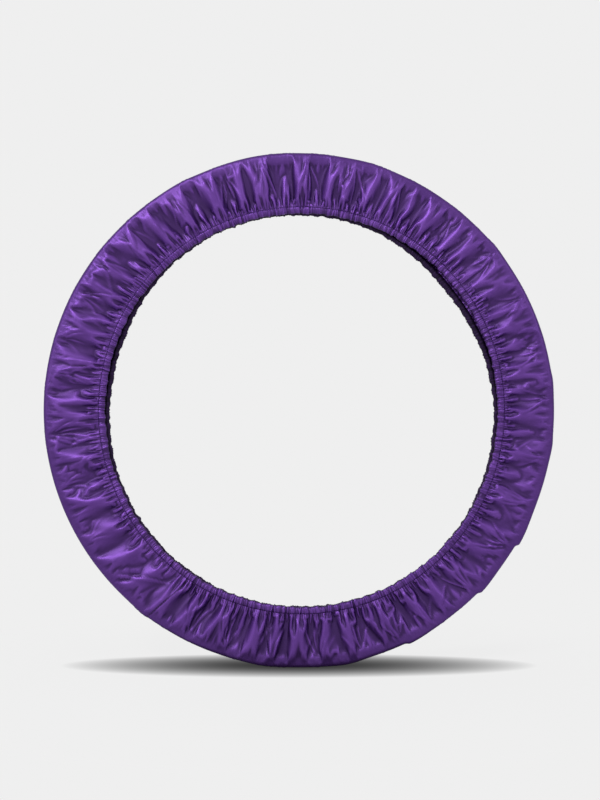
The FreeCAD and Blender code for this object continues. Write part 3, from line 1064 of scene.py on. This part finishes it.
def make_materials():
    """Make every finish of the hoop and its cover."""
    own = settings()
    cloth_material("purple_nylon")
    # The casings' cloth also gets painted shade on its folded-in halves.
    cloth_material("purple_nylon_casing", hem_shaded=True)
    thread = tuple(own.thread_colour)
    hoop = tuple(own.hoop_colour)
    speckled("elastic_knit", (0.62, 0.61, 0.58), (0.84, 0.83, 0.80), 0.8, 900.0, 0.0003)
    speckled("sewing_thread", thread, tuple(1.5 * part for part in thread), 0.6, 2500.0, 0.0001)
    speckled("elastic_thread", (0.55, 0.54, 0.52), (0.75, 0.74, 0.72), 0.6, 2500.0, 0.0001)
    speckled("hoop_plastic", hoop, tuple(0.94 * part for part in hoop), 0.38, 220.0, 0.0001)
    speckled("plug_plastic", (0.30, 0.30, 0.31), (0.24, 0.24, 0.25), 0.5, 300.0, 0.0001)
    speckled("pin_steel", (0.56, 0.57, 0.58), (0.48, 0.49, 0.50), 0.3, 700.0, 0.00005, metallic=1.0)
    speckled("joint_tape", (0.72, 0.72, 0.70), (0.64, 0.64, 0.63), 0.45, 500.0, 0.0002)


# The CAD pieces that stay, and the finish each one gets.
HOOP_NODES = {
    "hoop_tube": "hoop_plastic",
    "joint_plug": "plug_plastic",
    "joint_pins": "pin_steel",
    "joint_tape": "joint_tape",
    "elastic_lap_stitches": "elastic_thread",
}


class HOOP_OT_hoop(bpy.types.Operator):
    """Finish the hoop's tube and the pieces of its joint"""

    bl_idname = "hoop.hoop"
    bl_label = "Hoop"

    def execute(self, context):
        make_materials()
        for node, name in HOOP_NODES.items():
            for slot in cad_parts[node].material_slots:
                slot.material = bpy.data.materials[name]
        return {"FINISHED"}


# ------------------------------------------------------------------ the stage

SHADE_SIZE = (0.42, 0.115)  # half the width and depth of the soft shadow painted on the floor
SHADE_BACK = 0.02  # how far its middle lies behind the hoop
DARKEST = 0.045  # its tone at its middle, as a share of the floor's
FLOOR_DROP = 0.0005  # the gap that keeps the floor clear of the cloth
WORLD_LEVEL = 0.015  # the strength of the room's own light
CAMERA_PLACE = (0.002, -2.475, 0.018)

# Each lamp's name, place, power in watts and width in metres; all face the hoop.
LAMPS = [
    ("key_light", (-1.2, -2.5, 1.9), 44.0, 0.6),
    ("right_light", (2.0, -2.2, 1.0), 9.0, 0.6),
    ("left_light", (-2.0, -2.2, 0.6), 7.0, 0.8),
    ("back_light", (0.0, 2.8, 0.0), 12.0, 0.9),
]


def seen_rays(tree):
    """Return an output that is 1 for what is seen, straight, mirrored or through glass."""
    path = tree.nodes.new("ShaderNodeLightPath")
    rays = path.outputs["Is Camera Ray"]
    for name in ("Is Glossy Ray", "Is Transmission Ray"):
        either = tree.nodes.new("ShaderNodeMath")
        either.operation = "MAXIMUM"
        tree.links.new(rays, either.inputs[0])
        tree.links.new(path.outputs[name], either.inputs[1])
        rays = either.outputs[0]
    return rays


def make_floor():
    """Make the pale floor, with a soft shadow painted into it under the hoop."""
    tone = settings().floor_colour
    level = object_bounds()[0][2] - FLOOR_DROP
    width, depth = SHADE_SIZE
    bm = bmesh.new()
    bmesh.ops.create_grid(bm, x_segments=1, y_segments=1, size=12)
    bmesh.ops.translate(bm, verts=bm.verts, vec=(0, 0, level))
    floor = finish_mesh("floor", bm, smooth=False)
    paint = Paint("floor_paint", (tone, tone, tone), 0.9)
    paint.set(paint.shader, "Specular IOR Level", 0.1)
    place = paint.add("ShaderNodeTexCoord", out=3)
    # Painted shadow: the floor's colour darkens in a soft oval under the hoop.
    oval = paint.add(
        "ShaderNodeMapping", Vector=place, Location=(0.0, -SHADE_BACK / depth, 0.0),
        Scale=(1 / width, 1 / depth, 0.0),
    )
    distance = paint.add("ShaderNodeVectorMath", out=1, own={"operation": "LENGTH"}, Vector=oval)
    fall = paint.math("POWER", paint.math("MINIMUM", distance, 1.0), 2.6)
    painted_shadow = paint.ramp(fall, 0.0, 1.0, DARKEST, 1.0, smooth=False)
    pale = paint.tone(painted_shadow, (0, 0, 0), (tone, tone, tone))
    paint.set(paint.shader, "Base Color", pale)
    # The floor glows as the backdrop does, and near the hoop it keeps some real shadow.
    flat = paint.add("ShaderNodeMapping", Vector=place, Scale=(1.0, 1.0, 0.0))
    reach = paint.add("ShaderNodeVectorMath", out=1, own={"operation": "LENGTH"}, Vector=flat)
    glowing = paint.ramp(reach, 0.3, 0.7, 0.92, 1.0)
    strength = paint.ramp(reach, 0.3, 0.7, 1.048, 1.0)
    glow = paint.add("ShaderNodeEmission", Color=pale, Strength=strength)
    share = paint.math("MULTIPLY", glowing, seen_rays(paint.tree))
    mixed = paint.add("ShaderNodeMixShader", _0=share, _1=paint.shader.outputs[0], _2=glow)
    paint.set(paint.tree.nodes["Material Output"], "Surface", mixed)
    floor.data.materials.append(paint.material)
    floor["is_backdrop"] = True


def make_world():
    """Make a dim studio that shows as a pale backdrop."""
    world = bpy.data.worlds.new("studio")
    world.use_nodes = True
    tree = world.node_tree
    dim = tree.nodes["Background"]
    dim.inputs["Color"].default_value = (0.9, 0.9, 0.92, 1)
    dim.inputs["Strength"].default_value = WORLD_LEVEL
    pale = tree.nodes.new("ShaderNodeBackground")
    tone = settings().floor_colour
    pale.inputs["Color"].default_value = (tone, tone, tone, 1)
    mix = tree.nodes.new("ShaderNodeMixShader")
    tree.links.new(seen_rays(tree), mix.inputs[0])
    tree.links.new(dim.outputs[0], mix.inputs[1])
    tree.links.new(pale.outputs[0], mix.inputs[2])
    tree.links.new(mix.outputs[0], tree.nodes["World Output"].inputs["Surface"])
    bpy.context.scene.world = world


def make_lamps():
    """Make the square soft lamps."""
    for name, place, power, width in LAMPS:
        lamp = bpy.data.lights.new(name, "AREA")
        lamp.energy = power
        lamp.size = width
        holder = bpy.data.objects.new(name, lamp)
        holder.location = place
        holder.rotation_euler = (-Vector(place)).to_track_quat("-Z", "Y").to_euler()
        bpy.context.scene.collection.objects.link(holder)


def make_camera():
    """Make the camera, straight in front of the hoop."""
    lens = bpy.data.cameras.new("camera")
    lens.lens = 85
    lens.sensor_fit = "HORIZONTAL"
    lens.sensor_width = 36
    camera = bpy.data.objects.new("camera", lens)
    camera.location = CAMERA_PLACE
    camera.rotation_euler = (pi / 2, 0, 0)
    bpy.context.scene.collection.objects.link(camera)
    bpy.context.scene.camera = camera


class HOOP_OT_stage(bpy.types.Operator):
    """Make the floor, the backdrop, the lamps and the camera"""

    bl_idname = "hoop.stage"
    bl_label = "Stage"

    def execute(self, context):
        context.scene.view_settings.view_transform = "Standard"
        make_floor()
        make_world()
        make_lamps()
        make_camera()
        return {"FINISHED"}


class HOOP_PT_panel(bpy.types.Panel):
    """Lists the hoop's steps and sizes"""

    bl_label = "Covered Hoop"
    bl_idname = "HOOP_PT_panel"
    bl_space_type = "VIEW_3D"
    bl_region_type = "UI"
    bl_category = "Hoop"

    def draw(self, context):
        layout = self.layout
        own = context.scene.hoop_cover
        for name in CoverSettings.__annotations__:
            layout.prop(own, name)
        for step in STEPS:
            layout.operator(step.bl_idname)


STEPS = (HOOP_OT_hoop, HOOP_OT_cover, HOOP_OT_casings, HOOP_OT_sewing, HOOP_OT_stage)
CLASSES = (CoverSettings, *STEPS, HOOP_PT_panel)


def register():
    """Register the settings, the steps and the panel."""
    for item in CLASSES:
        bpy.utils.register_class(item)
    bpy.types.Scene.hoop_cover = PointerProperty(type=CoverSettings)


def unregister():
    """Remove the settings, the steps and the panel."""
    del bpy.types.Scene.hoop_cover
    for item in reversed(CLASSES):
        bpy.utils.unregister_class(item)


def main():
    """Run every step in order."""
    register()
    bpy.ops.hoop.hoop()
    bpy.ops.hoop.cover()
    bpy.ops.hoop.casings()
    bpy.ops.hoop.sewing()
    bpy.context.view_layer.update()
    bpy.ops.hoop.stage()


if __name__ == "__main__":
    main()
